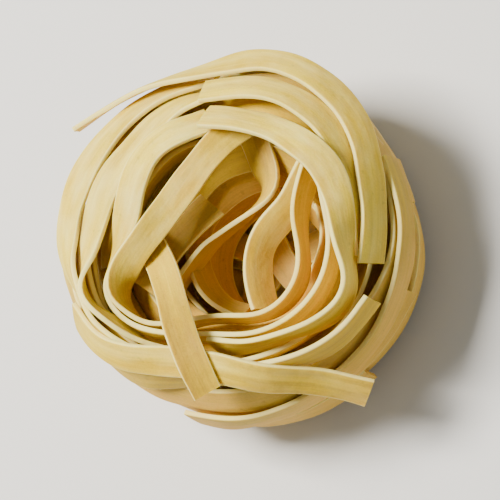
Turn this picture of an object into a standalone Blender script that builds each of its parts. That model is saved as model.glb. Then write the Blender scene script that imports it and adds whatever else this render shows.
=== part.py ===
"""A dry tagliatelle nest, as one solid out to the uneven outline of its coiled ribbons.

The nest stands on its flat underside at z = 0, with its hollow open upwards. All sizes are metres, +Z up, and
the origin is the middle of the underside. A core fills the coil: it is a UV sphere whose latitudes are laid
along the nest's section, from the underside round the wall and over the rim to the floor of the hollow. The
ribbons that show are strips wound on that core, some lying on it and some standing on edge, and the ribbon ends
that leave the coil are strips with a square cut. All of them are joined to the core.
"""

import math

import bpy
from mathutils import Vector

MM = 0.001

# Driving dimensions
NEST_RADIUS = 33.0 * MM
NEST_HEIGHT = 35.5 * MM
FOOT_RADIUS = 23.0 * MM
RIM_RADIUS = 23.5 * MM
HOLLOW_RADIUS = 14.0 * MM
HOLLOW_FLOOR = 10.0 * MM
HOLLOW_CENTRE = Vector((4.0 * MM, -1.5 * MM))
RIBBON_WIDTH = 6.4 * MM
RIBBON_THICKNESS = 1.1 * MM

# How finely the core and the strips are divided
LONGITUDES = 56
LATITUDES = 26
FOOT_LATITUDES = 2
SECTION_STEPS = 30
STRIP_PIECE = 5.0 * MM

# The coil's unevenness: (waves round the nest, share of the radius or height, phase in radians)
OUTLINE_WAVES = ((2, 0.022, 0.9), (3, 0.018, 2.4), (5, 0.008, 0.3))
RIM_WAVES = ((1, 0.030, 2.3), (2, 0.020, 0.4), (4, 0.012, 1.7))

# How far a lying strip's outer face stands off the core, for each layer, and how deep its root goes
LAYER_LIFTS = (1.0 * MM, 1.9 * MM, 2.8 * MM)
ROOT_DEPTH = 2.4 * MM
EDGE_LIFT = 0.6 * MM

PASTA_COLOUR = (0.80, 0.66, 0.36, 1.0)
PASTA_ROUGHNESS = 0.62


def clear_scene():
    for obj in list(bpy.data.objects):
        bpy.data.objects.remove(obj, do_unlink=True)


def pasta_material():
    material = bpy.data.materials.new("dry_pasta")
    material.use_nodes = True
    shader = material.node_tree.nodes["Principled BSDF"]
    shader.inputs["Base Color"].default_value = PASTA_COLOUR
    shader.inputs["Roughness"].default_value = PASTA_ROUGHNESS
    return material


def catmull_rom(points, steps):
    """A smooth line through points, ends included, with evenly many pieces between each two."""
    padded = [points[0] * 2 - points[1], *points, points[-1] * 2 - points[-2]]
    line = []
    for a, b, c, d in zip(padded, padded[1:], padded[2:], padded[3:]):
        for i in range(steps):
            t = i / steps
            cubic = 3 * b - a - 3 * c + d
            line.append(0.5 * (2 * b + (c - a) * t + (2 * a - 5 * b + 4 * c - d) * t**2 + cubic * t**3))
    line.append(points[-1].copy())
    return line


def smooth_step(value):
    t = min(max(value, 0.0), 1.0)
    return t * t * (3.0 - 2.0 * t)


def waves(angle, table):
    return sum(share * math.sin(count * angle + phase) for count, share, phase in table)


class NestSurface:
    """The core's surface: a place for each angle round the nest and each distance along its section."""

    def __init__(self):
        corners = [
            Vector((FOOT_RADIUS, 0.0)),
            Vector((NEST_RADIUS * 0.88, NEST_HEIGHT * 0.10)),
            Vector((NEST_RADIUS * 0.98, NEST_HEIGHT * 0.28)),
            Vector((NEST_RADIUS, NEST_HEIGHT * 0.52)),
            Vector((NEST_RADIUS * 0.96, NEST_HEIGHT * 0.76)),
            Vector((NEST_RADIUS * 0.86, NEST_HEIGHT * 0.93)),
            Vector((RIM_RADIUS, NEST_HEIGHT)),
            Vector((HOLLOW_RADIUS + 4.5 * MM, NEST_HEIGHT * 0.93)),
            Vector((HOLLOW_RADIUS + 1.2 * MM, NEST_HEIGHT * 0.74)),
            Vector((HOLLOW_RADIUS, NEST_HEIGHT * 0.52)),
            Vector((HOLLOW_RADIUS * 0.90, HOLLOW_FLOOR + 2.5 * MM)),
            Vector((HOLLOW_RADIUS * 0.55, HOLLOW_FLOOR)),
            Vector((0.0, HOLLOW_FLOOR)),
        ]
        self.line = [Vector((0.0, 0.0)), *catmull_rom(corners, SECTION_STEPS)]
        self.lengths = [0.0]
        for a, b in zip(self.line, self.line[1:]):
            self.lengths.append(self.lengths[-1] + (b - a).length)
        self.whole = self.lengths[-1]

    def section_point(self, distance):
        """(radius, height) at a distance along the section from the underside's middle."""
        i = 0
        while i < len(self.line) - 2 and self.lengths[i + 1] < distance:
            i += 1
        share = (distance - self.lengths[i]) / (self.lengths[i + 1] - self.lengths[i])
        return self.line[i].lerp(self.line[i + 1], share)

    def place(self, angle, distance):
        flat = self.section_point(distance)
        radius = flat.x * (1.0 + waves(angle, OUTLINE_WAVES))
        height = flat.y * (1.0 + waves(angle, RIM_WAVES) * flat.y / NEST_HEIGHT)
        inwards = smooth_step((distance / self.whole - 0.55) / 0.2)
        return Vector(
            (
                radius * math.cos(angle) + HOLLOW_CENTRE.x * inwards,
                radius * math.sin(angle) + HOLLOW_CENTRE.y * inwards,
                max(height, 0.0),
            )
        )

    def frame(self, angle, distance):
        """The place there, the direction along the section, and the direction out of the core."""
        small = 0.2 * MM
        along = self.place(angle, distance + small) - self.place(angle, distance - small)
        around = self.place(angle + 0.01, distance) - self.place(angle - 0.01, distance)
        return self.place(angle, distance), along.normalized(), around.cross(along).normalized()


def nest_core(surface, collection, material):
    """The coil's filling: a UV sphere whose latitudes follow the nest's section."""
    bpy.ops.mesh.primitive_uv_sphere_add(segments=LONGITUDES, ring_count=LATITUDES, radius=1.0)
    core = bpy.context.active_object
    core.name = "pasta_nest"
    for vertex in core.data.vertices:
        angle = math.atan2(vertex.co.y, vertex.co.x)
        latitude = math.acos(max(-1.0, min(1.0, -vertex.co.z))) / math.pi * LATITUDES
        if latitude < FOOT_LATITUDES:
            distance = FOOT_RADIUS * latitude / FOOT_LATITUDES
        else:
            share = (latitude - FOOT_LATITUDES) / (LATITUDES - FOOT_LATITUDES)
            distance = FOOT_RADIUS + (surface.whole - FOOT_RADIUS) * share
        vertex.co = surface.place(angle, distance)
    core.data.materials.append(material)
    core.data.shade_smooth()
    move_to(core, collection)
    return core


def move_to(obj, collection):
    for owner in list(obj.users_collection):
        owner.objects.unlink(obj)
    collection.objects.link(obj)


def strip_grid(name, stations, collection):
    """A flat grid one cell wide and so many stations long, as a hidden helper, with its corners in rows."""
    bpy.ops.mesh.primitive_grid_add(x_subdivisions=stations - 1, y_subdivisions=1, size=2.0)
    strip = bpy.context.active_object
    strip.name = name
    strip.hide_render = True
    strip.display_type = "WIRE"
    move_to(strip, collection)
    return strip


def thicken(strip, thickness):
    """Gives the grid that thickness, half of it to each side."""
    solidify = strip.modifiers.new("ribbon_thickness", "SOLIDIFY")
    solidify.thickness = thickness
    solidify.offset = 0.0


def wound_strip(name, surface, start, sweep, heights, lean, low, high, collection):
    """A strip wound on the core. heights are its middle's distances along the section at even steps round its
    sweep, and lean turns it from lying (0) to standing on edge (90 degrees). Its two faces are low and high off
    the core's surface at its middle."""
    middle = catmull_rom([Vector((height * MM, 0.0)) for height in heights], 12)
    stations = max(8, round(abs(sweep) * NEST_RADIUS * 0.85 / STRIP_PIECE))
    strip = strip_grid(name, stations, collection)
    for vertex in strip.data.vertices:
        share = (vertex.co.x + 1.0) / 2.0
        side = vertex.co.y * RIBBON_WIDTH / 2.0
        at = share * (len(middle) - 1)
        before = min(int(at), len(middle) - 2)
        distance = middle[before].lerp(middle[before + 1], at - before).x
        place, along, out = surface.frame(start + sweep * share, distance)
        across = along * math.cos(lean) + out * math.sin(lean)
        vertex.co = place + across * side + out * (low + high) / 2.0
    thicken(strip, high - low)
    return strip


def loose_end(name, places, leans, collection):
    """A straight-cut strip through the places, in millimetres. Its face leans from upright (0) to level (90)."""
    line = catmull_rom([Vector(place) * MM for place in places], 4)
    strip = strip_grid(name, len(line), collection)
    for vertex in strip.data.vertices:
        station = round((vertex.co.x + 1.0) / 2.0 * (len(line) - 1))
        lean = math.radians(leans[0] + (leans[1] - leans[0]) * station / (len(line) - 1))
        travel = (line[min(station + 1, len(line) - 1)] - line[max(station - 1, 0)]).normalized()
        level = travel.cross(Vector((0.0, 0.0, 1.0))).normalized()
        upright = level.cross(travel)
        across = upright * math.cos(lean) + level * math.sin(lean)
        vertex.co = line[station] + across * vertex.co.y * RIBBON_WIDTH / 2.0
    thicken(strip, RIBBON_THICKNESS)
    return strip


def join_on(core, piece):
    union = core.modifiers.new("join_" + piece.name, "BOOLEAN")
    union.operation = "UNION"
    union.solver = "EXACT"
    union.object = piece


def main():
    clear_scene()
    nest = bpy.data.collections.new("tagliatelle_nest")
    helpers = bpy.data.collections.new("nest_helpers")
    bpy.context.scene.collection.children.link(nest)
    bpy.context.scene.collection.children.link(helpers)
    surface = NestSurface()
    core = nest_core(surface, nest, pasta_material())
    # Strips lying on the coil: degrees of start and sweep, millimetres along the section, layer
    lying = (
        (20, 250, (33, 36, 34), 0),
        (200, 240, (35, 32, 37), 0),
        (300, 270, (42, 45, 41), 1),
        (95, 230, (44, 40, 46), 0),
        (0, 220, (51, 53, 49), 0),
        (170, 260, (50, 55, 51), 1),
        (250, 200, (60, 58, 62), 0),
        (75, 210, (57, 62, 66), 2),
        (120, 170, (66, 69, 67), 1),
        (330, 140, (68, 66, 70), 0),
        (60, 150, (76, 79, 75), 0),
        (200, 170, (84, 81, 86), 0),
        (10, 190, (88, 91, 89), 0),
    )
    for i, (start, sweep, heights, layer) in enumerate(lying):
        name = f"lying_{i + 1:02d}"
        turn = (math.radians(start), math.radians(sweep))
        join_on(core, wound_strip(name, surface, *turn, heights, 0.0, -ROOT_DEPTH, LAYER_LIFTS[layer], helpers))
    # Strips standing on edge round the low side of the rim: start, sweep, millimetres along the section, lean
    standing = (
        (215, 150, (64, 63, 61), 60),
        (235, 155, (69, 70, 68), 75),
        (205, 165, (75, 76, 75), 95),
    )
    for i, (start, sweep, heights, lean) in enumerate(standing):
        name = f"standing_{i + 1:02d}"
        turn = (math.radians(start), math.radians(sweep))
        faces = (EDGE_LIFT - RIBBON_THICKNESS / 2.0, EDGE_LIFT + RIBBON_THICKNESS / 2.0)
        join_on(core, wound_strip(name, surface, *turn, heights, math.radians(lean), *faces, helpers))
    # The ends that leave the coil, from their root inside the core to their cut tip, and how they lean
    loose = (
        ("loose_low_front", ((-4, -24, 27), (8, -29, 26), (19, -33, 20), (28, -36, 13)), (62, 55)),
        ("loose_back_left", ((2, 27, 31), (-12, 28, 32), (-23, 26, 32), (-33, 22, 31)), (8, 12)),
        ("loose_right", ((26, -6, 20), (31, 3, 21), (34, 11, 23), (37, 20, 24)), (6, 10)),
        ("loose_left_low", ((-20, 20, 12), (-29, 12, 11), (-34, 2, 10), (-38, -9, 8)), (-6, 4)),
        ("loose_back_top", ((10, 22, 31), (2, 25, 34), (-5, 29.5, 36.2), (-11.5, 35, 37.8)), (30, 38)),
    )
    for name, places, leans in loose:
        join_on(core, loose_end(name, places, leans, helpers))


main()
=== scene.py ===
"""A dry tagliatelle nest made of its separate ribbons.

Each ribbon is first drawn as a route: places of its middle line, and how far its upper edge leans. The
ribbons are then laid one after another, as on a drying tray, so that each one bends round those that
already lie there. Routes and forces are in millimetres; the finished mesh is in metres, in the frame of the
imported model. A lean is in degrees: 0 stands on edge, and 90 or -90 lies flat. It is positive where the upper
edge leans to the right of the way the ribbon runs, which is outwards where it runs anticlockwise.
"""

import math
import random
from collections import namedtuple

import bpy
import numpy as np
from mathutils import Matrix, Vector
from mathutils.bvhtree import BVHTree


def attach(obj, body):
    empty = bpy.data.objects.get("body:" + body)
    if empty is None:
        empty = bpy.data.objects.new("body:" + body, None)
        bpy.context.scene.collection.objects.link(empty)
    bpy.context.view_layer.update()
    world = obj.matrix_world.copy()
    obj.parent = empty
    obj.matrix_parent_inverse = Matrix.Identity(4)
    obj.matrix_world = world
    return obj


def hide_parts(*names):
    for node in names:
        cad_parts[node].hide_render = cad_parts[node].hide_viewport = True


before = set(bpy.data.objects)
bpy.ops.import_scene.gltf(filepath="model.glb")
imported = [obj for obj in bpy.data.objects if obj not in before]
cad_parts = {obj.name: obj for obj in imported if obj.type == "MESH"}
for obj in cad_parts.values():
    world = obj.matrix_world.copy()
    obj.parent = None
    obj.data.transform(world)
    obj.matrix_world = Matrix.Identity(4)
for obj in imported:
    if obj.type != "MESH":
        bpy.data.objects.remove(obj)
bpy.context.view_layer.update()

MM = 0.001
UP = np.array((0.0, 0.0, 1.0))

# The ribbon: rolled egg dough cut by a bronze die
RIBBON_WIDTH = 6.3
RIBBON_THICKNESS = 1.05
EDGE_ROUNDING = 0.22
WIDTH_SPREAD = 0.18
CUPPING = 0.34
CUPPING_SHARES = (0.2, 1.0)
SKEW_OF_ENDS = 0.6

# Ripples that drying leaves, as (height, wave length over 2 pi): of the cut edges, and of the faces
EDGE_RIPPLES = ((0.09, 3.7), (0.05, 1.7))
FACE_RIPPLES = ((0.10, 5.1), (0.06, 2.3))

# The coil: the hollow's middle, the hoops inside the coil, and how far a hoop strays from its circle
HOLLOW_CENTRE = np.array((4.0, -1.5))
CORE_HEIGHTS = (6.0, 11.0, 16.0, 21.0)
CORE_RADII = (19.5, 23.8, 28.0)
CORE_LEAN = 42.0
CORE_SWEEP = 335
HOOP_STEP = 38
STRAY_RADIUS = 0.8
STRAY_HEIGHT = 0.9
STRAY_LEAN = 9.0

# How the ribbons are laid: spacing of stations, distances kept, stiffnesses and shares of each push
STATION = 2.0
ROUTE_STEPS = 16
ROUTE_SMOOTHING = 6.0
SAMPLES_ACROSS = 5
SAMPLE_MARGIN = 0.15
PATCH_MARGIN = 0.2
CLEARANCE = 1.12
TRAY_CLEARANCE = 0.8
TOUCHING = 0.02
LAYING_STEPS = 70
LAYING_SHARE = 0.7
LIFT = 9.0
LIFT_EASING = 1.5
BENDING = 40.0
TWISTING = 16.0
OVER_PUSH = 1.5
ROLL_PUSH = 0.7
LEAST_ARMS = 8.0
GIVE = 0.03
ROLL_GIVE = 0.03
SETTLING_STEPS = 24
SETTLING_PUSH = 0.5

# Where a ribbon comes from: shares of up and of in or out, and when one coming from the axis turns to above
FROM_AXIS = (0.6, 0.8)
FROM_OUTSIDE_UP = 0.25
AXIS_TO_ABOVE = (-0.8, 3.2)

# How finely the mesh is divided: along the ribbon, in its round corners, and across its faces as shares
MESH_STATION = 1.25
CORE_MESH_STATION = 2.5
MESH_STEPS = 6
CORNER_POINTS = 3
FACE_POINTS = (0.86, 0.45, 0.0, -0.45, -0.86)
SHARP_ANGLE = 50.0

# Colours of the dough, painted shade and light: from the golden, darker dough of ribbons deep in the nest, in
# shade, to the paler dough of those high up in the open light
DOUGH_DEEP_SHADE = "#dcae44"
DOUGH_GOLDEN = "#c6a02c"
DOUGH_MIDDLE = "#d4b01a"
DOUGH_PALE = "#e7cd40"
FLOUR = "#f0e08a"
# Cut edges: paler dough, partly a painted highlight where the edges catch the light
CUT_EDGE_AND_HIGHLIGHT = "#f7e796"

# How dry and floury a ribbon is, by the start of its name; the low values also paint shade on ribbons that lie
# in shade, which come out golden and darker
DRYNESS_AND_SHADE = {
    "tray": 0.3, "floor": 0.1, "core": 0.0, "hollow": 0.0, "under": 0.15, "deep": 0.1, "wall": 0.1,
    "over_rim": 0.0, "low_front": 0.5, "right_loop": 0.5, "low_ring": 0.4, "crossing": 0.6,
}
OPEN_AIR_DRYNESS = (0.8, 1.0)

# Sizes in the dough: (length along the ribbon, spacing across it), or the one size of a speck or grain
FINE_STREAKS = (9.0, 0.4)
BROAD_STREAKS = (34.0, 1.4)
TONE_DRIFT = (22.0, 9.0)
FLOUR_PATCHES = (10.0, 3.0)
GRAIN_SIZE = 0.35
SHEET_UNEVENNESS = 2.5
BRAN_SPACING = 1.3

# How far one ribbon's patterns lie from the next one's, and where the sum of causes starts to pale the tone
PATTERN_SHIFT = 37.0
TONE_START = 0.975

# The studio, in metres and watts; a light is its place, size, power and colour
CAMERA_TARGET = Vector((0.001, -0.002, 0.020))
TOWARDS_CAMERA = Vector((0.359, -0.251, 0.899))
PICTURE_UP = (0.093, 0.968, 0.233)
CAMERA_DISTANCE = 0.9
CAMERA_LENS = 320.0
NEST_MIDDLE = Vector((0.0, 0.0, 0.02))
KEY_LIGHT = (Vector((-0.41, 0.13, 0.80)), 0.34, 23.5, "#fffaf2")
FILL_LIGHT = (Vector((0.45, -0.45, 0.55)), 0.8, 0.1, "#f2f5ff")
AIR_COLOUR = "#eaf0ee"
AIR_STRENGTH = 0.36
FLOOR_COLOUR = "#dddcd9"
FLOOR_SIZE = 4.0

Route = namedtuple("Route", "name points comes_from")


# ---------------------------------------------------------------- routes

def round_axis(points, centre=(0.0, 0.0)):
    """Turns (degrees round the axis, radius, height, lean) into (x, y, height, lean)."""
    turned = []
    for angle, radius, height, lean in points:
        along = math.radians(angle)
        x = centre[0] + radius * math.cos(along)
        y = centre[1] + radius * math.sin(along)
        turned.append((x, y, height, lean))
    return turned


def hoop(
    name, start, sweep, radius, height, lean,
    rise=0.0, wander=1.0, centre=(0.0, 0.0), comes_from="above",
):
    """A ribbon going round the axis, which climbs by rise and wanders a little."""
    chance = random.Random(name)
    count = max(4, round(abs(sweep) / HOOP_STEP))
    points = []
    for i in range(count + 1):
        share = i / count
        points.append(
            (
                start + sweep * share,
                radius + chance.uniform(-STRAY_RADIUS, STRAY_RADIUS) * wander,
                height + rise * share + chance.uniform(-STRAY_HEIGHT, STRAY_HEIGHT) * wander,
                lean + chance.uniform(-STRAY_LEAN, STRAY_LEAN) * wander,
            )
        )
    return Route(name, round_axis(points, centre), comes_from)


def underside_routes():
    """Ribbons pressed flat on the tray, and those that close the hollow's floor."""
    return [
        hoop("tray_outer", 20, 320, 24.5, 0.6, 84, wander=0.6),
        hoop("tray_middle", 200, 320, 18.0, 0.8, 88, wander=0.6),
        hoop("tray_inner", 80, 290, 11.0, 0.7, 88, wander=0.4),
        Route("tray_chord", [
            (-22, 9, 1.6, 88), (-10, 3, 1.8, 90), (3, -2, 1.8, 92), (15, -8, 2.0, 88),
            (24, -12, 3.5, 80)], "above"),
        Route("floor_chord", [
            (-13, -21, 5, 60), (-6, -10, 3.4, 80), (2, 1, 3.0, 90), (9, 11, 3.6, 84),
            (14, 22, 6, 60)], "above"),
        Route("floor_cross", [
            (-20, 8, 9, 40), (-9, 4, 5.6, 66), (3, 0, 4.6, 84), (14, 4, 6.5, 70),
            (21, 13, 10, 40)], "above"),
        Route("floor_bow", [
            (20, -15, 9, 40), (10, -9, 6.8, 66), (3, -2, 6.0, 80), (-1, 8, 7.0, 70),
            (-3, 19, 11, 40)], "above"),
        hoop("tray_wall", 140, 320, 26.5, 3.9, 28, wander=0.5),
    ]


def core_routes():
    """Ribbons inside the coil, seen only through the gaps: three columns of hoops, leaning to and fro."""
    routes = []
    for level, height in enumerate(CORE_HEIGHTS):
        for column, radius in enumerate(CORE_RADII):
            name = f"core_{level + 1}_{column + 1}"
            start = 130 * level + 75 * column
            lean = CORE_LEAN if (level + column) % 2 else -CORE_LEAN
            routes.append(hoop(name, start, CORE_SWEEP, radius, height, lean, wander=0.7))
    return routes


def hollow_routes():
    """Ribbons round the wall of the hollow."""
    centre = HOLLOW_CENTRE
    return [
        hoop("hollow_1", 30, 300, 13.6, 8.0, 22, rise=1.0, wander=0.6, centre=centre, comes_from="axis"),
        hoop("hollow_2", 220, 280, 14.2, 12.5, 14, rise=1.5, wander=0.6, centre=centre, comes_from="axis"),
        hoop("hollow_3", 80, 270, 14.8, 17.5, 12, rise=-3.5, wander=0.6, centre=centre, comes_from="axis"),
        hoop("hollow_4", 36, 218, 16.6, 20.5, 20, rise=-2.5, wander=0.5, centre=centre, comes_from="axis"),
        hoop("hollow_5", 24, 150, 19.6, 21.5, 34, rise=2.0, wander=0.3, centre=centre, comes_from="axis"),
    ]


def wall_routes():
    """Ribbons round the outer wall, wound from the foot upwards."""
    return [
        hoop("wall_1", 60, 330, 30.0, 5.0, 32, rise=1.5, comes_from="outside"),
        hoop("wall_2", 250, 330, 31.6, 9.0, 16, rise=2.5, comes_from="outside"),
        hoop("wall_3", 10, 300, 31.8, 15.0, 4, rise=-5.0, comes_from="outside"),
        hoop("wall_4", 150, 320, 31.8, 14.5, 0, rise=5.0, comes_from="outside"),
        hoop("wall_5", 280, 320, 31.8, 19.0, -6, rise=1.0, comes_from="outside"),
        hoop("wall_6", 60, 280, 33.2, 22.0, -8, rise=-6.0, comes_from="outside"),
        hoop("wall_7", 200, 250, 31.6, 22.4, -14, rise=0.3, comes_from="outside"),
        hoop("wall_8", 250, 132, 33.6, 16.5, -4, rise=6.5, wander=0.5, comes_from="outside"),
    ]


def under_rim_routes():
    """Ribbons below the rim that show through its gaps, and those that hang down into the hollow."""
    return [
        Route("under_top", round_axis([
            (18, 27.5, 25, -35), (34, 27, 29, -42), (50, 26.5, 32, -48), (66, 26, 32, -50),
            (78, 25.8, 31.5, -50), (88, 25.2, 30, -56), (100, 24.5, 28, -62), (120, 24.5, 27.5, -66),
            (150, 25, 27, -70), (172, 26, 27, -70), (190, 26.5, 26.5, -66)]), "above"),
        Route("under_inner", round_axis([
            (92, 20, 26, -10), (110, 20.3, 27.5, -8), (130, 20.3, 28.5, -6), (152, 20.5, 28.5, -6),
            (172, 21.5, 27.5, -8), (190, 23, 26.5, -10)]), "above"),
        Route("under_left", round_axis([
            (116, 30.8, 27.5, -45), (130, 30.5, 30, -50), (150, 30.5, 30, -55), (168, 30.8, 29, -55),
            (184, 31.6, 28, -52), (205, 32.2, 27.5, -50), (225, 32.2, 27.5, -50),
            (242, 32.2, 27.5, -50)]), "above"),
        hoop("under_ring", 165, 75, 29.2, 25.2, -30, wander=0.4),
        Route("under_outer", round_axis([
            (24, 32.5, 26, -26), (44, 32.3, 29, -28), (60, 32, 30.3, -30), (76, 32, 30.3, -30),
            (86, 31.8, 28.5, -30), (98, 31.6, 26.5, -28), (122, 32, 25.8, -26),
            (148, 32.2, 25.5, -26)]), "above"),
        Route("deep_loop", [
            (5.5, 20.5, 24.5, -80), (6, 17.5, 24, -80), (7, 14.5, 23.5, -76), (7.5, 12, 23, -60),
            (7, 9.5, 23, -40), (4.5, 7.5, 22.5, -26), (1, 4.5, 22, -20), (-2.5, 2.5, 21.5, -16),
            (-6.5, 0, 21, -12), (-10, -2.5, 20, -6), (-13, -7, 20, -6), (-16, -11, 19.5, -4)], "above"),
        Route("deep_end", [
            (-4.7, 6.5, 26, 80), (-8.3, 3.7, 26.6, 82), (-12.3, -0.7, 27, 82), (-15.7, -5.7, 27, 78),
            (-18, -10.5, 26.5, 70)], "above"),
    ]


def rim_routes():
    """Ribbons of the rim: lying broad on one side, standing on edge on the other."""
    return [
        Route("low_ring", round_axis([
            (-206, 35.0, 26.5, -40), (-190, 36.0, 26.5, -44), (-172, 36.0, 26.4, -36),
            (-154, 34.8, 26, -20), (-136, 32.8, 26, -8), (-117, 31.0, 26.4, -4), (-98, 30.4, 27.4, -4),
            (-81, 30.4, 28.2, -4), (-66, 31.2, 28.8, -2), (-52, 33.0, 28.8, -2), (-43, 34.1, 28.8, -2),
            (-35, 34.3, 28.8, -2), (-29, 34.5, 28.2, -2)]), "above"),
        Route("broad_ring", round_axis([
            (-266, 32.0, 28.5, -40), (-256, 32.5, 29.5, -44), (-246, 32.5, 31.0, -48),
            (-232, 32.5, 32.5, -54), (-219, 32.5, 33.0, -64), (-206, 33.0, 33.5, -74),
            (-193, 33.5, 33.0, -76), (-183, 34.0, 32.0, -66), (-173, 34.5, 30.5, -44),
            (-164, 34.0, 29.2, -20), (-152, 33.0, 27.4, -6), (-138, 31.4, 25.6, 0), (-122, 29.8, 24.6, 0),
            (-104, 28.6, 24.2, 0), (-84, 28.2, 24.0, 0), (-66, 28.8, 24.0, 0), (-50, 30.0, 24.2, 0),
            (-38, 30.6, 24.6, 0), (-26, 30.2, 24.6, 0), (-12, 28.4, 24.6, 0), (4, 26.6, 24.6, 0),
            (20, 25.6, 24.6, -10)]), "above"),
        Route("left_band", round_axis([
            (-265, 27.5, 32.5, -30), (-257, 27.5, 33.5, -40), (-247, 27.0, 34.0, -52),
            (-236, 26.0, 34.5, -66), (-221, 25.0, 35.0, -78), (-205, 26.5, 35.0, -84),
            (-192, 27.5, 34.5, -80), (-179, 28.1, 33.4, -62), (-170, 29.2, 31.8, -30),
            (-164, 30.3, 30.4, -8), (-157, 30.9, 29.9, 0), (-149, 30.9, 29.9, 0), (-141, 30.5, 29.6, 0),
            (-134, 29.4, 28.8, 0), (-124, 28.0, 27.2, 0), (-110, 26.8, 26.0, 0),
            (-96, 26.6, 25.4, 0)]), "above"),
        Route("inner_ring", round_axis([
            (-266, 22.5, 33.5, -60), (-248, 22.0, 34.0, -60), (-232, 21.5, 34.5, -64),
            (-217, 21.0, 35.0, -74), (-201, 21.0, 34.8, -80), (-185, 21.6, 34.2, -72),
            (-173, 23.6, 33.0, -50), (-166, 26.2, 31.6, -22), (-158, 28.2, 30.2, -4),
            (-147, 28.7, 29.7, 0), (-138, 28.0, 29.3, 0), (-131, 26.6, 28.9, 0), (-123, 24.6, 28.5, 0),
            (-107, 22.3, 28.1, 0), (-88, 21.8, 27.9, 0), (-70, 23.2, 27.9, 0), (-58, 23.7, 27.9, 0),
            (-44, 24.0, 28.1, 0), (-30, 23.9, 28.3, 0), (-19, 23.3, 28.5, 0), (-7, 22.3, 28.9, 0),
            (6, 21.5, 29.4, 0), (24, 22.1, 29.8, 0), (36, 23.4, 29.8, -6)]), "above"),
        Route("low_front", [
            (-30, -13, 27, -30), (-24, -19.5, 28.5, -40), (-15, -24.5, 30, -48), (-7, -27, 31.0, -54),
            (1, -28, 31.0, -56), (9, -29.2, 29, -54), (17, -31, 26, -50),
            (27, -34.5, 21.5, -48)], "above"),
    ]


def top_routes():
    """The last ribbons: the bands round the top, the loops into the hollow and the loose ends."""
    return [
        Route("upper_band", round_axis([
            (-16, 28.5, 26, -10), (-8, 28.5, 28, -14), (2, 29, 30, -20), (14, 29, 32, -26),
            (26, 29, 33.5, -38), (40, 29.5, 35, -48), (54, 29, 36, -54), (71, 28.5, 36.5, -54),
            (96, 27.5, 36, -54)]), "above"),
        Route("outer_band", round_axis([
            (-18, 31.9, 28.0, -30), (-5, 31.4, 29.2, -32), (7, 31.4, 30.0, -34), (19, 32.2, 30.6, -38),
            (28, 33.5, 31.0, -42), (38, 34.3, 31.4, -46), (45, 34.7, 32.2, -50), (55, 35.0, 33.0, -54),
            (67, 35.2, 33.2, -54), (79, 34.5, 33.0, -52), (89, 33.5, 32.5, -48), (100, 33.0, 32.5, -40),
            (109, 34.0, 32.0, -30), (119, 35.5, 31.5, -24), (133, 38.0, 31.0, -22),
            (144, 41.0, 30.5, -21)]), "above"),
        Route("right_loop", [
            (6.5, -19, 19.5, -34), (5.5, -16, 20.5, -40), (4.5, -12.5, 22, -44), (4, -9, 23, -44),
            (4, -5, 24, -46), (5, -1.5, 24.5, -44), (8.5, 2, 24.5, -42), (13, 5.5, 24, -40),
            (16.5, 10, 23.5, -30), (17.5, 14.5, 22.5, -16), (18, 18.5, 22, -10)], "axis_then_above"),
        Route("crossing", [
            (5, 20.5, 30.2, 84), (1, 18.6, 31.4, 84), (-4.3, 13.1, 33, 82), (-9.6, 6.8, 33.6, 76),
            (-14.7, 0.6, 34, 66), (-18.6, -4.4, 33.8, 56), (-22.2, -8.6, 32.4, 40),
            (-23.6, -11.6, 30.4, 14), (-22.6, -14.4, 29.2, 0), (-20.6, -16.6, 28.6, 0),
            (-18.2, -18.0, 28.2, 0), (-15.2, -18.6, 27.5, 0), (-11.2, -18.3, 26.5, 0),
            (-6.5, -17.2, 25.7, 0), (-2.7, -16.8, 25.3, 0), (3.8, -17.8, 25.2, 0), (8.1, -16.8, 25.0, 0),
            (11.7, -14.1, 24.8, 0), (13.9, -10.9, 24.9, 0), (14.8, -8.4, 24.9, 0), (14.5, -5.6, 24.9, 0),
            (13.8, -0.6, 25.2, 0), (14.2, 4.8, 25.6, 0), (16.0, 9.5, 25.6, 0),
            (19.0, 14.5, 25.0, 0)], "above"),
        Route("inner_rim", round_axis([
            (-97, 24.4, 29.6, -16), (-88, 24.8, 29.6, -16), (-75, 25.8, 30.0, -6), (-63, 27.4, 30.2, 0),
            (-51, 28.9, 30.2, 0), (-41, 30.2, 30.2, 0), (-33, 30.8, 30.3, 0), (-25, 30.1, 30.4, 0),
            (-18, 28.9, 30.8, -2), (-10, 27.4, 31.6, -16), (0, 26.2, 32.6, -44), (14, 25.5, 34, -58),
            (27, 25.5, 35, -62), (40, 24.5, 35.5, -60), (55, 22.5, 35.5, -54), (74, 20.5, 35.5, -48),
            (97, 20.5, 35.5, -48)]), "above"),
        Route("over_rim", [
            (-18.5, 0.7, 30.4, 88), (-16.1, -2.6, 31.4, 88), (-14.0, -5.3, 32.6, 88),
            (-12.3, -8.5, 33.8, 89), (-10.9, -11.8, 35, 82), (-9.3, -15, 36, 74), (-7.6, -20.7, 36.5, 64),
            (-5.5, -25.2, 36, 58), (-3.5, -30.5, 33, 62), (-2.8, -33, 30.5, 70)], "axis_then_above"),
    ]


def all_routes():
    """Every route, in the order of laying."""
    heap = underside_routes() + core_routes() + hollow_routes() + wall_routes()
    return heap + under_rim_routes() + rim_routes() + top_routes()


# ---------------------------------------------------------------- laying the ribbons

def unit(vectors):
    """The vectors at length 1."""
    return vectors / np.maximum(np.linalg.norm(vectors, axis=-1, keepdims=True), 1e-9)


def catmull_rom(points, steps):
    """A smooth line of rows through the rows given, with so many steps between each two."""
    padded = np.vstack((2 * points[0] - points[1], points, 2 * points[-1] - points[-2]))
    t = np.linspace(0.0, 1.0, steps, endpoint=False)[:, None]
    line = []
    for a, b, c, d in zip(padded, padded[1:], padded[2:], padded[3:]):
        squared = (2 * a - 5 * b + 4 * c - d) * t**2
        cubed = (3 * b - a - 3 * c + d) * t**3
        line.append(0.5 * (2 * b + (c - a) * t + squared + cubed))
    return np.vstack((*line, points[-1:]))


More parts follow.
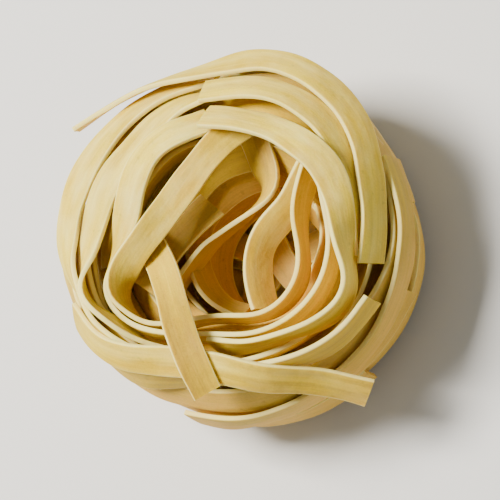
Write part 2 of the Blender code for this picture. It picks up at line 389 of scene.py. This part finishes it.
def even_stations(rows, spacing):
    """Rows (x, y, z and more) resampled to an even spacing along the line of their places."""
    steps = np.linalg.norm(np.diff(rows[:, :3], axis=0), axis=1)
    lengths = np.concatenate(((0.0,), np.cumsum(steps)))
    count = max(8, round(lengths[-1] / spacing)) + 1
    wanted = np.linspace(0.0, lengths[-1], count)
    return np.column_stack([np.interp(wanted, lengths, column) for column in rows.T])


def bend_filter(count, stiffness):
    """The matrix that turns pushes on single stations into a smooth bend of the whole ribbon."""
    curvature = np.diff(np.eye(count), 2, axis=0)
    return np.linalg.inv(np.eye(count) + stiffness * curvature.T @ curvature)


def travel_and_across(middle, leans):
    """The way a ribbon runs and the way from its lower edge to its upper one, for a column of leans."""
    travel = unit(np.gradient(middle, axis=0))
    level = unit(np.cross(travel, UP))
    upright = np.cross(level, travel)
    return travel, upright * np.cos(leans) + level * np.sin(leans)


class Ribbon:
    """A ribbon as stations along its middle line, with the direction across it at each."""

    def __init__(self, route):
        rows = np.array([[x, y, z, math.radians(lean)] for x, y, z, lean in route.points], dtype=float)
        rows = even_stations(catmull_rom(rows, ROUTE_STEPS), STATION)
        rows = bend_filter(len(rows), ROUTE_SMOOTHING) @ rows
        self.name = route.name
        self.route = rows[:, :3]
        self.leans = rows[:, 3]
        self.width = RIBBON_WIDTH + random.Random(route.name).uniform(-WIDTH_SPREAD, WIDTH_SPREAD)
        self.shift = np.zeros_like(self.route)
        self.roll = np.zeros(len(rows))
        self.bend = bend_filter(len(rows), BENDING)
        self.twist = bend_filter(len(rows), TWISTING)
        self.arrival = self.arrival_directions(route.comes_from)
        self.lift = LIFT

    def arrival_directions(self, comes_from):
        """Where each station comes from when the ribbon is laid."""
        if comes_from == "above":
            return np.tile(UP, (len(self.route), 1))
        outward = self.route - (*HOLLOW_CENTRE, 0.0)
        outward[:, 2] = 0.0
        outward = unit(outward)
        if comes_from == "axis_then_above":
            share = np.clip(np.linspace(*AXIS_TO_ABOVE, len(self.route)), 0.0, 1.0)[:, None]
            return unit((1.0 - share) * -outward + share * UP)
        if comes_from == "axis":
            return unit(FROM_AXIS[0] * UP - outward * FROM_AXIS[1])
        return unit(FROM_OUTSIDE_UP * UP + outward)

    def middle(self):
        """The middle line where it is now."""
        return self.route + self.shift + self.arrival * self.lift

    def rows(self, offsets):
        """Points on the middle surface: stations by offsets across."""
        middle = self.middle()
        _, across = travel_and_across(middle, (self.leans + self.roll)[:, None])
        return middle[:, None, :] + across[:, None, :] * np.asarray(offsets)[None, :, None]

    def offsets(self, count):
        """So many places across the ribbon, from edge to edge."""
        half = (self.width - 2.0 * SAMPLE_MARGIN) / 2.0
        return np.linspace(-half, half, count)

    def push(self, pushes):
        """Moves and rolls the ribbon by the pushes on its rows, as smoothly as it can bend and twist."""
        offsets = self.offsets(pushes.shape[1])
        touched = np.linalg.norm(pushes, axis=2) > 0.0
        count = np.maximum(touched.sum(axis=1), 1)
        travel, across = travel_and_across(self.middle(), (self.leans + self.roll)[:, None])
        facing = np.cross(travel, across)
        lever = (pushes * facing[:, None, :]).sum(axis=2) * offsets[None, :]
        arms = np.maximum((touched * offsets[None, :] ** 2).sum(axis=1), LEAST_ARMS)
        self.shift += self.bend @ (pushes.sum(axis=1) / count[:, None]) * OVER_PUSH
        self.roll += self.twist @ (lever.sum(axis=1) / arms) * ROLL_PUSH


def surface_patch(ribbon):
    """The ribbon's middle surface as vertices and quads, for finding what lies near it."""
    offsets = (-ribbon.width / 2.0 + PATCH_MARGIN, 0.0, ribbon.width / 2.0 - PATCH_MARGIN)
    grid = ribbon.rows(offsets)
    count = len(grid)
    quads = []
    for i in range(count - 1):
        for j in range(2):
            a = i * 3 + j
            quads.append((a, a + 1, a + 4, a + 3))
    return grid.reshape(-1, 3), quads


def tree_of(ribbons):
    """The middle surfaces of all these ribbons, ready for finding the nearest place on them."""
    vertices = []
    faces = []
    for ribbon in ribbons:
        points, quads = surface_patch(ribbon)
        start = len(vertices)
        vertices.extend(points.tolist())
        faces.extend([tuple(start + corner for corner in quad) for quad in quads])
    return BVHTree.FromPolygons(vertices, faces)


def pushes_on(ribbon, tree):
    """How far each sample of the ribbon has to move to clear the others and the tray."""
    points = ribbon.rows(ribbon.offsets(SAMPLES_ACROSS))
    pushes = np.zeros_like(points)
    if tree is not None:
        for i, row in enumerate(points.tolist()):
            for j, point in enumerate(row):
                place, _, _, distance = tree.find_nearest(point, CLEARANCE)
                if place is not None:
                    if distance > TOUCHING:
                        pushes[i, j] = (Vector(point) - place) * (CLEARANCE / distance - 1.0)
                    else:
                        pushes[i, j] = ribbon.arrival[i] * CLEARANCE
    below = np.maximum(TRAY_CLEARANCE - points[:, :, 2], 0.0)
    pushes[:, :, 2] += below
    return pushes


def lay(ribbon, tree):
    """Brings the ribbon to its route from where it comes, bending round what is in its way."""
    for step in range(LAYING_STEPS):
        share = min(1.0, step / (LAYING_STEPS * LAYING_SHARE))
        ribbon.lift = LIFT * (1.0 - share) ** LIFT_EASING
        if share < 1.0:
            ribbon.shift *= 1.0 - GIVE
            ribbon.roll *= 1.0 - GIVE
        ribbon.push(pushes_on(ribbon, tree))
    ribbon.lift = 0.0


def lay_all(routes):
    """Lays the ribbons in order, then lets all of them settle against each other."""
    laid = []
    for route in routes:
        ribbon = Ribbon(route)
        lay(ribbon, tree_of(laid) if laid else None)
        laid.append(ribbon)
    for _ in range(SETTLING_STEPS):
        for i, ribbon in enumerate(laid):
            others = laid[:i] + laid[i + 1 :]
            ribbon.roll *= 1.0 - ROLL_GIVE
            ribbon.push(pushes_on(ribbon, tree_of(others)) * SETTLING_PUSH)
    return laid


# ---------------------------------------------------------------- the ribbons' mesh

def section_outline(width):
    """The cross-section as (across, through) points round it: flat faces, cut edges, small round corners."""
    half = (width / 2.0, RIBBON_THICKNESS / 2.0)
    outline = []
    for quarter, (side, face) in enumerate(((1, -1), (1, 1), (-1, 1), (-1, -1))):
        centre = (side * (half[0] - EDGE_ROUNDING), face * (half[1] - EDGE_ROUNDING))
        for step in range(CORNER_POINTS):
            turn = math.radians(90 * quarter - 90 + 90 * step / (CORNER_POINTS - 1))
            across = centre[0] + EDGE_ROUNDING * math.cos(turn)
            through = centre[1] + EDGE_ROUNDING * math.sin(turn)
            outline.append((across, through))
        if quarter in (1, 3):
            for share in FACE_POINTS:
                outline.append((side * half[0] * share, face * half[1]))
    return outline


def ripple(along, waves, phases):
    """The height of the ripples along a ribbon."""
    heights = [height * np.sin(along / length + phase) for (height, length), phase in zip(waves, phases)]
    return sum(heights)


def ribbon_sections(ribbon, along, rows):
    """The cross-sections along a ribbon, cupped, rippled and cut off a little askew at its ends."""
    travel, across = travel_and_across(rows[:, :3], rows[:, 3:])
    facing = np.cross(travel, across)
    chance = random.Random(ribbon.name)
    cup = chance.uniform(*CUPPING_SHARES) * CUPPING
    skews = [chance.uniform(-SKEW_OF_ENDS, SKEW_OF_ENDS) for _ in range(2)]
    phases = [chance.uniform(0.0, math.tau) for _ in range(4)]
    edge_ripple = ripple(along, EDGE_RIPPLES, phases[:2])
    face_ripple = ripple(along, FACE_RIPPLES, phases[2:])
    columns = []
    for reach, through in section_outline(ribbon.width):
        share = reach / (ribbon.width / 2.0)
        reaches = reach + edge_ripple * share
        throughs = through + cup * (1.0 - share * share) + face_ripple * share
        skew = np.zeros(len(along))
        skew[0] = skews[0] * share
        skew[-1] = skews[1] * share
        place = rows[:, :3] + across * reaches[:, None] + facing * throughs[:, None]
        columns.append(place + travel * skew[:, None])
    return np.stack(columns, axis=1)


def tube_faces(count, around):
    """Quads between the cross-sections, and one face over each cut end."""
    faces = []
    for i in range(count - 1):
        for j in range(around):
            k = (j + 1) % around
            faces.append((i * around + j, i * around + k, (i + 1) * around + k, (i + 1) * around + j))
    faces.append(tuple(range(around - 1, -1, -1)))
    faces.append(tuple((count - 1) * around + j for j in range(around)))
    return faces


def ribbon_mesh(ribbon, number):
    """One ribbon's vertices in metres, its faces, and each vertex's (along, across, pattern) in mm."""
    station = CORE_MESH_STATION if ribbon.name.startswith("core") else MESH_STATION
    rows = np.column_stack((ribbon.middle(), ribbon.leans + ribbon.roll))
    rows = even_stations(catmull_rom(rows, MESH_STEPS), station)
    count = len(rows)
    along = np.arange(count) * station
    vertices = ribbon_sections(ribbon, along, rows)
    pattern = np.full(count, number * PATTERN_SHIFT)
    reaches = [reach for reach, _ in section_outline(ribbon.width)]
    columns = [np.column_stack((along, np.full(count, reach), pattern)) for reach in reaches]
    places = np.stack(columns, axis=1)
    return vertices.reshape(-1, 3) * MM, tube_faces(count, len(reaches)), places.reshape(-1, 3)


def ribbon_dryness_and_shade(name):
    """How dry and floury the ribbon of this name is, from 0 to 1; low values also stand for painted shade."""
    for start, dryness in DRYNESS_AND_SHADE.items():
        if name.startswith(start):
            return dryness
    return random.Random(name).uniform(*OPEN_AIR_DRYNESS)


def nest_piece(ribbons):
    """All the ribbons as one mesh object."""
    vertices = []
    faces = []
    places = []
    dryness = []
    for number, ribbon in enumerate(ribbons):
        points, quads, along = ribbon_mesh(ribbon, number)
        start = len(vertices)
        # Each ribbon's value for dry dough and painted shade goes to its vertices
        dryness.extend([ribbon_dryness_and_shade(ribbon.name)] * len(points))
        vertices.extend(points.tolist())
        faces.extend([tuple(start + corner for corner in face) for face in quads])
        places.extend(along.tolist())
    mesh = bpy.data.meshes.new("tagliatelle_ribbons")
    mesh.from_pydata(vertices, [], faces)
    mesh.validate()
    attribute = mesh.attributes.new("ribbon_place", "FLOAT_VECTOR", "POINT")
    attribute.data.foreach_set("vector", np.array(places, dtype=np.float32).ravel())
    mesh.attributes.new("dryness", "FLOAT", "POINT").data.foreach_set("value", dryness)
    mesh.shade_smooth()
    mesh.set_sharp_from_angle(angle=math.radians(SHARP_ANGLE))
    piece = bpy.data.objects.new("tagliatelle_ribbons", mesh)
    bpy.context.scene.collection.objects.link(piece)
    return piece


# ---------------------------------------------------------------- materials

def linear(hex_colour):
    """An sRGB hex value as linear RGBA."""
    parts = [int(hex_colour[i : i + 2], 16) / 255.0 for i in (1, 3, 5)]
    return (*[c / 12.92 if c <= 0.04045 else ((c + 0.055) / 1.055) ** 2.4 for c in parts], 1.0)


def add_node(tree, kind, settings=None, inputs=None):
    """A node with its settings, and its inputs set to values or linked to other nodes' outputs."""
    node = tree.nodes.new(kind)
    for name, value in (settings or {}).items():
        setattr(node, name, value)
    for name, value in (inputs or {}).items():
        if isinstance(value, bpy.types.NodeSocket):
            tree.links.new(value, node.inputs[name])
        else:
            node.inputs[name].default_value = value
    return node


def stretched_noise(tree, place, length, spacing, detail=2.0):
    """Noise drawn out along the ribbon: so many millimetres long, so many apart."""
    scale = (1 / length, 1 / spacing, 1.0)
    drawn = add_node(tree, "ShaderNodeMapping", inputs={"Vector": place, "Scale": scale}).outputs["Vector"]
    inputs = {"Vector": drawn, "Scale": 1.0, "Detail": detail}
    return add_node(tree, "ShaderNodeTexNoise", inputs=inputs).outputs["Fac"]


def dough_tone(tree, place, dryness, broad):
    """Painted shade and light: golden and darker low down and in shaded ribbons, paler high up and in dry
    ones, drifting along each one.
    """
    surface = add_node(tree, "ShaderNodeNewGeometry")
    where = add_node(tree, "ShaderNodeSeparateXYZ", inputs={"Vector": surface.outputs["Position"]})
    # Painted shade by height: the lower the surface lies in the nest, the darker and more golden the dough
    height = add_node(
        tree, "ShaderNodeMapRange", {"interpolation_type": "SMOOTHSTEP"},
        {
            "Value": where.outputs["Z"],
            "From Min": 4 * MM, "From Max": 38 * MM, "To Min": -0.20, "To Max": 0.50})
    drier_and_lit = height.outputs["Result"]
    drift = stretched_noise(tree, place, *TONE_DRIFT)
    for cause, share in ((dryness, 0.45), (drift, 1.2), (broad, 0.6)):
        inputs = {0: cause, 1: share, 2: drier_and_lit}
        drier_and_lit = add_node(tree, "ShaderNodeMath", {"operation": "MULTIPLY_ADD"}, inputs).outputs["Value"]
    drier_and_lit = add_node(
        tree, "ShaderNodeMath", {"operation": "SUBTRACT", "use_clamp": True}, {0: drier_and_lit, 1: TONE_START})
    dough = add_node(tree, "ShaderNodeValToRGB", inputs={"Fac": drier_and_lit.outputs["Value"]})
    ramp = dough.color_ramp
    # The ramp's dark end is painted shade for the lowest, shaded ribbons
    ramp.elements[0].color = linear(DOUGH_DEEP_SHADE)
    ramp.elements[1].color = linear(DOUGH_PALE)
    ramp.elements.new(0.25).color = linear(DOUGH_GOLDEN)
    ramp.elements.new(0.55).color = linear(DOUGH_MIDDLE)
    return dough.outputs["Color"]


def streaked(tree, place, colour, fine, broad, grains):
    """The streaks and grains darken the dough a little, and specks of bran 0.5 mm wide a little more."""
    shade = fine
    for other in (broad, grains):
        inputs = {0: shade, 1: other}
        shade = add_node(tree, "ShaderNodeMath", {"operation": "ADD"}, inputs).outputs["Value"]
    shade = add_node(
        tree, "ShaderNodeMapRange",
        inputs={"Value": shade, "From Min": 1.05, "From Max": 1.95, "To Min": 0.80, "To Max": 1.08})
    bran = add_node(
        tree, "ShaderNodeTexNoise",
        inputs={"Vector": place, "Scale": 1 / BRAN_SPACING, "Detail": 1.0}).outputs["Fac"]
    specks = add_node(
        tree, "ShaderNodeMapRange",
        inputs={"Value": bran, "From Min": 0.70, "From Max": 0.76, "To Min": 1.0, "To Max": 0.84})
    shade = add_node(
        tree, "ShaderNodeMath", {"operation": "MULTIPLY"},
        {0: shade.outputs["Result"], 1: specks.outputs["Result"]})
    return add_node(
        tree, "ShaderNodeVectorMath", {"operation": "SCALE"},
        {0: colour, "Scale": shade.outputs["Value"]}).outputs["Vector"]


def floured(tree, place, colour, dryness):
    """Flour dusts the faces that look up, in patches, and most on the driest ribbons, least on those given
    painted shade.
    """
    surface = add_node(tree, "ShaderNodeNewGeometry")
    facing = add_node(tree, "ShaderNodeSeparateXYZ", inputs={"Vector": surface.outputs["Normal"]})
    looks_up = add_node(
        tree, "ShaderNodeMapRange", {"interpolation_type": "SMOOTHSTEP"},
        {"Value": facing.outputs["Z"], "From Min": 0.1, "From Max": 0.9})
    patches = stretched_noise(tree, place, *FLOUR_PATCHES, detail=5.0)
    dusted = add_node(
        tree, "ShaderNodeMapRange",
        inputs={"Value": patches, "From Min": 0.40, "From Max": 0.72, "To Max": 0.65}).outputs["Result"]
    for cause in (looks_up.outputs["Result"], dryness):
        inputs = {0: dusted, 1: cause}
        dusted = add_node(tree, "ShaderNodeMath", {"operation": "MULTIPLY"}, inputs).outputs["Value"]
    return add_node(
        tree, "ShaderNodeMix", {"data_type": "RGBA"},
        {"Factor": dusted, "A": colour, "B": linear(FLOUR)}).outputs["Result"]


def pale_edged(tree, place, colour):
    """The cut edges, from 2.75 mm off the middle line outwards, dry out more and are paler than the faces; the
    paler tone is partly a painted highlight where they catch the light.
    """
    parts = add_node(tree, "ShaderNodeSeparateXYZ", inputs={"Vector": place})
    reach = add_node(tree, "ShaderNodeMath", {"operation": "ABSOLUTE"}, {0: parts.outputs["Y"]})
    cut_edge_and_highlight = add_node(
        tree, "ShaderNodeMapRange", {"interpolation_type": "SMOOTHSTEP"},
        {"Value": reach.outputs["Value"], "From Min": 2.75, "From Max": 3.15, "To Max": 0.7})
    return add_node(
        tree, "ShaderNodeMix", {"data_type": "RGBA"},
        {"Factor": cut_edge_and_highlight.outputs["Result"], "A": colour, "B": linear(CUT_EDGE_AND_HIGHLIGHT)}).outputs["Result"]


def dough_relief(tree, heights):
    """Bumps on bumps, each given as its pattern, strength and depth in millimetres."""
    normal = None
    for pattern, strength, depth in heights:
        inputs = {"Strength": strength, "Distance": depth * MM, "Height": pattern}
        if normal is not None:
            inputs["Normal"] = normal
        normal = add_node(tree, "ShaderNodeBump", inputs=inputs).outputs["Normal"]
    return normal


def dried_egg_dough():
    """Durum and egg dough, rolled, cut by bronze and dried: matt, streaked, floury on top, with painted shade
    making it golden and darker deep in the nest.
    """
    material = bpy.data.materials.new("dried_egg_dough")
    material.use_nodes = True
    tree = material.node_tree
    shader = tree.nodes["Principled BSDF"]
    place = add_node(tree, "ShaderNodeAttribute", {"attribute_name": "ribbon_place"}).outputs["Vector"]
    dryness = add_node(tree, "ShaderNodeAttribute", {"attribute_name": "dryness"}).outputs["Fac"]

    # The die draws fine and broad streaks; between them show grains of semolina and the uneven sheet
    fine = stretched_noise(tree, place, *FINE_STREAKS)
    broad = stretched_noise(tree, place, *BROAD_STREAKS)
    grains = add_node(
        tree, "ShaderNodeTexNoise",
        inputs={"Vector": place, "Scale": 1 / GRAIN_SIZE, "Detail": 2.0}).outputs["Fac"]
    sheet = add_node(
        tree, "ShaderNodeTexNoise",
        inputs={"Vector": place, "Scale": 1 / SHEET_UNEVENNESS, "Detail": 3.0}).outputs["Fac"]

    colour = dough_tone(tree, place, dryness, broad)
    colour = streaked(tree, place, colour, fine, broad, grains)
    colour = floured(tree, place, colour, dryness)
    colour = pale_edged(tree, place, colour)
    tree.links.new(colour, shader.inputs["Base Color"])

    roughness = add_node(
        tree, "ShaderNodeMapRange", inputs={"Value": grains, "To Min": 0.50, "To Max": 0.74})
    tree.links.new(roughness.outputs["Result"], shader.inputs["Roughness"])
    bumps = ((sheet, 0.8, 0.30), (broad, 0.5, 0.10), (fine, 0.5, 0.06), (grains, 0.4, 0.04))
    tree.links.new(dough_relief(tree, bumps), shader.inputs["Normal"])

    # Light sinks about a millimetre into the dough, red furthest, so thin edges glow warm
    shader.inputs["IOR"].default_value = 1.45
    shader.inputs["Specular IOR Level"].default_value = 0.35
    shader.inputs["Subsurface Weight"].default_value = 0.5
    shader.inputs["Subsurface Radius"].default_value = (1.6, 1.1, 0.35)
    shader.inputs["Subsurface Scale"].default_value = 0.0010
    return material


def pale_studio_floor():
    """Matt painted board: an even, nearly white ground that lifts the shadows."""
    material = bpy.data.materials.new("pale_studio_floor")
    material.use_nodes = True
    shader = material.node_tree.nodes["Principled BSDF"]
    shader.inputs["Base Color"].default_value = linear(FLOOR_COLOUR)
    shader.inputs["Roughness"].default_value = 0.8
    return material


# ---------------------------------------------------------------- studio

def studio_floor():
    """A plain pale floor, which isn't part of the object."""
    bpy.ops.mesh.primitive_plane_add(size=FLOOR_SIZE)
    floor = bpy.context.active_object
    floor.name = "studio_floor"
    floor.data.materials.append(pale_studio_floor())


def aim(obj, target, picture_up=UP):
    """Turns a camera or light to look at the target, with picture_up upwards."""
    back = (obj.location - target).normalized()
    right = Vector(picture_up).cross(back).normalized()
    upwards = back.cross(right)
    obj.rotation_euler = Matrix((right, upwards, back)).transposed().to_euler()


def soft_light(name, place, size, power, colour):
    """A square soft light that looks at the nest."""
    light = bpy.data.lights.new(name, "AREA")
    light.size = size
    light.energy = power
    light.color = linear(colour)[:3]
    obj = bpy.data.objects.new(name, light)
    obj.location = place
    bpy.context.scene.collection.objects.link(obj)
    aim(obj, NEST_MIDDLE)


def studio_lights():
    """One soft key light from the upper left, a faint fill, and pale air all round."""
    soft_light("key_light", *KEY_LIGHT)
    soft_light("fill_light", *FILL_LIGHT)
    world = bpy.data.worlds.new("studio_air")
    world.use_nodes = True
    background = world.node_tree.nodes["Background"]
    background.inputs["Color"].default_value = linear(AIR_COLOUR)
    background.inputs["Strength"].default_value = AIR_STRENGTH
    bpy.context.scene.world = world


def studio_camera():
    """A long lens, nearly above the nest."""
    camera_data = bpy.data.cameras.new("studio_camera")
    camera_data.lens = CAMERA_LENS
    camera_data.clip_start = 0.01
    camera = bpy.data.objects.new("studio_camera", camera_data)
    bpy.context.scene.collection.objects.link(camera)
    camera.location = CAMERA_TARGET + TOWARDS_CAMERA.normalized() * CAMERA_DISTANCE
    aim(camera, CAMERA_TARGET, PICTURE_UP)
    bpy.context.scene.camera = camera


# ---------------------------------------------------------------- the whole


def main():
    """Builds the studio and the nest, hides the imported part that the nest replaces, and hangs the nest on
    the root body.
    """
    studio_camera()
    studio_lights()
    studio_floor()
    nest = nest_piece(lay_all(all_routes()))
    nest.data.materials.append(dried_egg_dough())
    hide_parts("pasta_nest")
    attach(nest, "root")


main()
